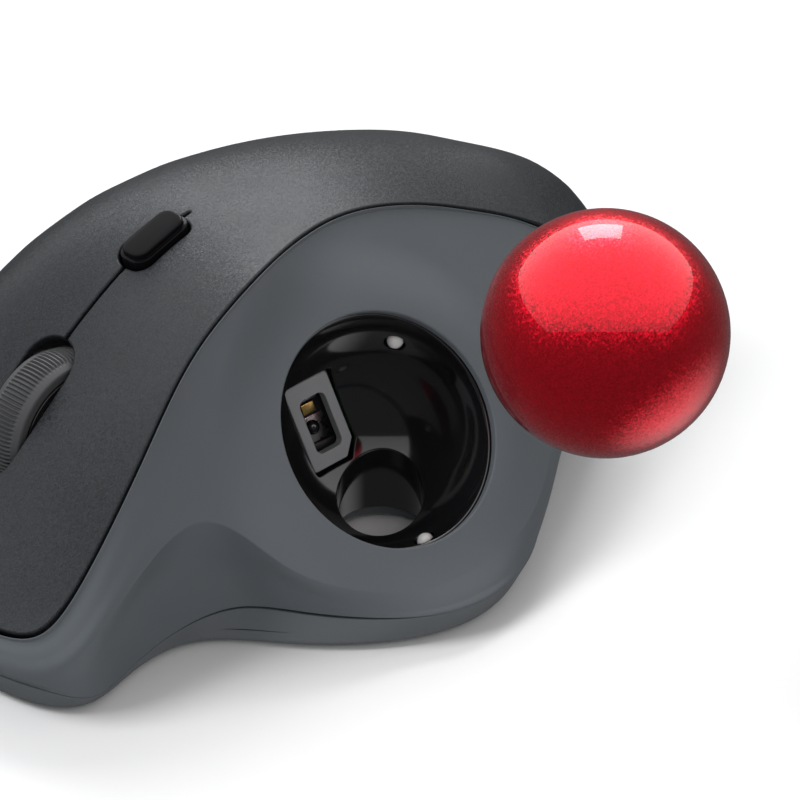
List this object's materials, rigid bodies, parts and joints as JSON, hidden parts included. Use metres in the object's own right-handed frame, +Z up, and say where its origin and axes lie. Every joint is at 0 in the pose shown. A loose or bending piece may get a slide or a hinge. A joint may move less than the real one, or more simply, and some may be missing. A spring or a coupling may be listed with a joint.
{
  "type": "computer mouse",
  "caption": "Wireless right-hand mouse with a thumb-operated trackball drawn out of its socket, two keys, a scroll wheel and a sensitivity button.",
  "frame": {"origin": "middle of the whole assembly's box, with the ball drawn out, at the level of the desk", "axes": "+Z up from the desk, -Y toward the tips of the keys, +X toward the thumb and the ball"},
  "size_m": [0.1395, 0.1364, 0.0811],
  "materials": {
    "satin_cover": "satin dark grey metallic paint over plastic",
    "matte_shell": "soft-touch dark grey",
    "base_plastic": "fine-textured moulded plastic",
    "gloss_black": "polished",
    "rubber": "ribbed tread",
    "ball_red": "pearl red",
    "ball_clear": "polished clear-coated red",
    "steel": "bright",
    "ceramic": "polished ceramic",
    "board": "circuit board",
    "panel_grey": "moulded",
    "gold": "plated",
    "lens_clear": "clear lens",
    "ptfe": "low-friction film",
    "battery_wrap": "plain wrapped cell",
    "inner_white": "moulded"
  },
  "bodies": {
    "housing": {"main_shell": "matte_shell", "base_tray": "base_plastic", "palm_cover": "satin_cover", "ball_cup": "gloss_black", "ball_bearing_1": "ceramic", "ball_bearing_2": "ceramic", "ball_bearing_3": "ceramic", "sensor_cover": "panel_grey", "sensor_lens": "lens_clear", "sensor_led": "gold", "sensor_chip": "gloss_black", "sensor_board": "board", "dpi_board": "board", "dpi_switch": "gloss_black", "dpi_bridge": "inner_white", "main_board": "board", "left_switch": "gloss_black", "right_switch": "gloss_black", "middle_switch": "gloss_black", "scroll_encoder": "inner_white", "battery_cell": "battery_wrap", "battery_cradle": "inner_white", "contact_plate": "steel", "contact_spring": "steel", "glide_foot_front_right": "ptfe", "glide_foot_front_left": "ptfe", "glide_foot_thumb_side": "ptfe", "glide_foot_rear": "ptfe", "housing_screw_1": "steel", "housing_screw_2": "steel", "housing_screw_3": "steel", "housing_screw_4": "steel", "board_screw_1": "steel", "board_screw_2": "steel", "board_screw_3": "steel"},
    "left_key": {"left_key": "satin_cover"},
    "right_key": {"right_key": "satin_cover"},
    "dpi_button": {"dpi_button": "gloss_black"},
    "wheel_carrier": {"wheel_carrier": "inner_white"},
    "wheel": {"wheel_tyre": "rubber", "wheel_hub": "gloss_black", "wheel_axle": "steel"},
    "ball_core": {"ball_core": "ball_red"},
    "ball_coat": {"ball_coat": "ball_clear"},
    "battery_door": {"battery_door": "base_plastic"},
    "power_slider": {"power_slider": "gloss_black"},
    "pairing_button": {"pairing_button": "gloss_black"}
  },
  "joints": [
    {"name": "left_key_press", "type": "hinge", "parent": "housing", "child": "left_key", "pos_m": [-0.03115, -0.00533, 0.05091], "axis": [1, 0, 0], "range_deg": [0, 0.75], "stiffness_Nm_per_rad": 2, "springref_deg": -0.23},
    {"name": "right_key_press", "type": "hinge", "parent": "housing", "child": "right_key", "pos_m": [-0.03115, -0.00533, 0.05091], "axis": [1, 0, 0], "range_deg": [0, 0.75], "stiffness_Nm_per_rad": 2, "springref_deg": -0.23},
    {"name": "dpi_press", "type": "slide", "parent": "housing", "child": "dpi_button", "axis": [0.0114, 0.3126, -0.9498], "range_m": [0, 0.0005], "stiffness_N_per_m": 600, "springref_m": -0.0003},
    {"name": "wheel_press", "type": "slide", "parent": "housing", "child": "wheel_carrier", "axis": [0, 0, -1], "range_m": [0, 0.0006], "stiffness_N_per_m": 1500, "springref_m": -0.0004},
    {"name": "wheel_roll", "type": "hinge", "parent": "wheel_carrier", "child": "wheel", "pos_m": [-0.03115, -0.03633, 0.0256], "axis": [1, 0, 0], "continuous": true},
    {"name": "ball_lift", "type": "slide", "parent": "housing", "child": "ball_core", "axis": [0.7827, -0.1111, 0.6125], "range_m": [-0.06625, 0]},
    {"name": "ball_roll", "type": "hinge", "parent": "ball_core", "child": "ball_coat", "pos_m": [0.05278, -0.01079, 0.06412], "axis": [0.1405, 0.9901, 0], "continuous": true},
    {"name": "battery_door_lift", "type": "slide", "parent": "housing", "child": "battery_door", "axis": [0, 0, -1], "range_m": [0, 0.03]},
    {"name": "power_slide", "type": "slide", "parent": "housing", "child": "power_slider", "axis": [0, 1, 0], "range_m": [0, 0.003]},
    {"name": "pairing_press", "type": "slide", "parent": "housing", "child": "pairing_button", "axis": [0, 0, 1], "range_m": [0, 0.0004], "stiffness_N_per_m": 600, "springref_m": -0.0002}
  ]
}
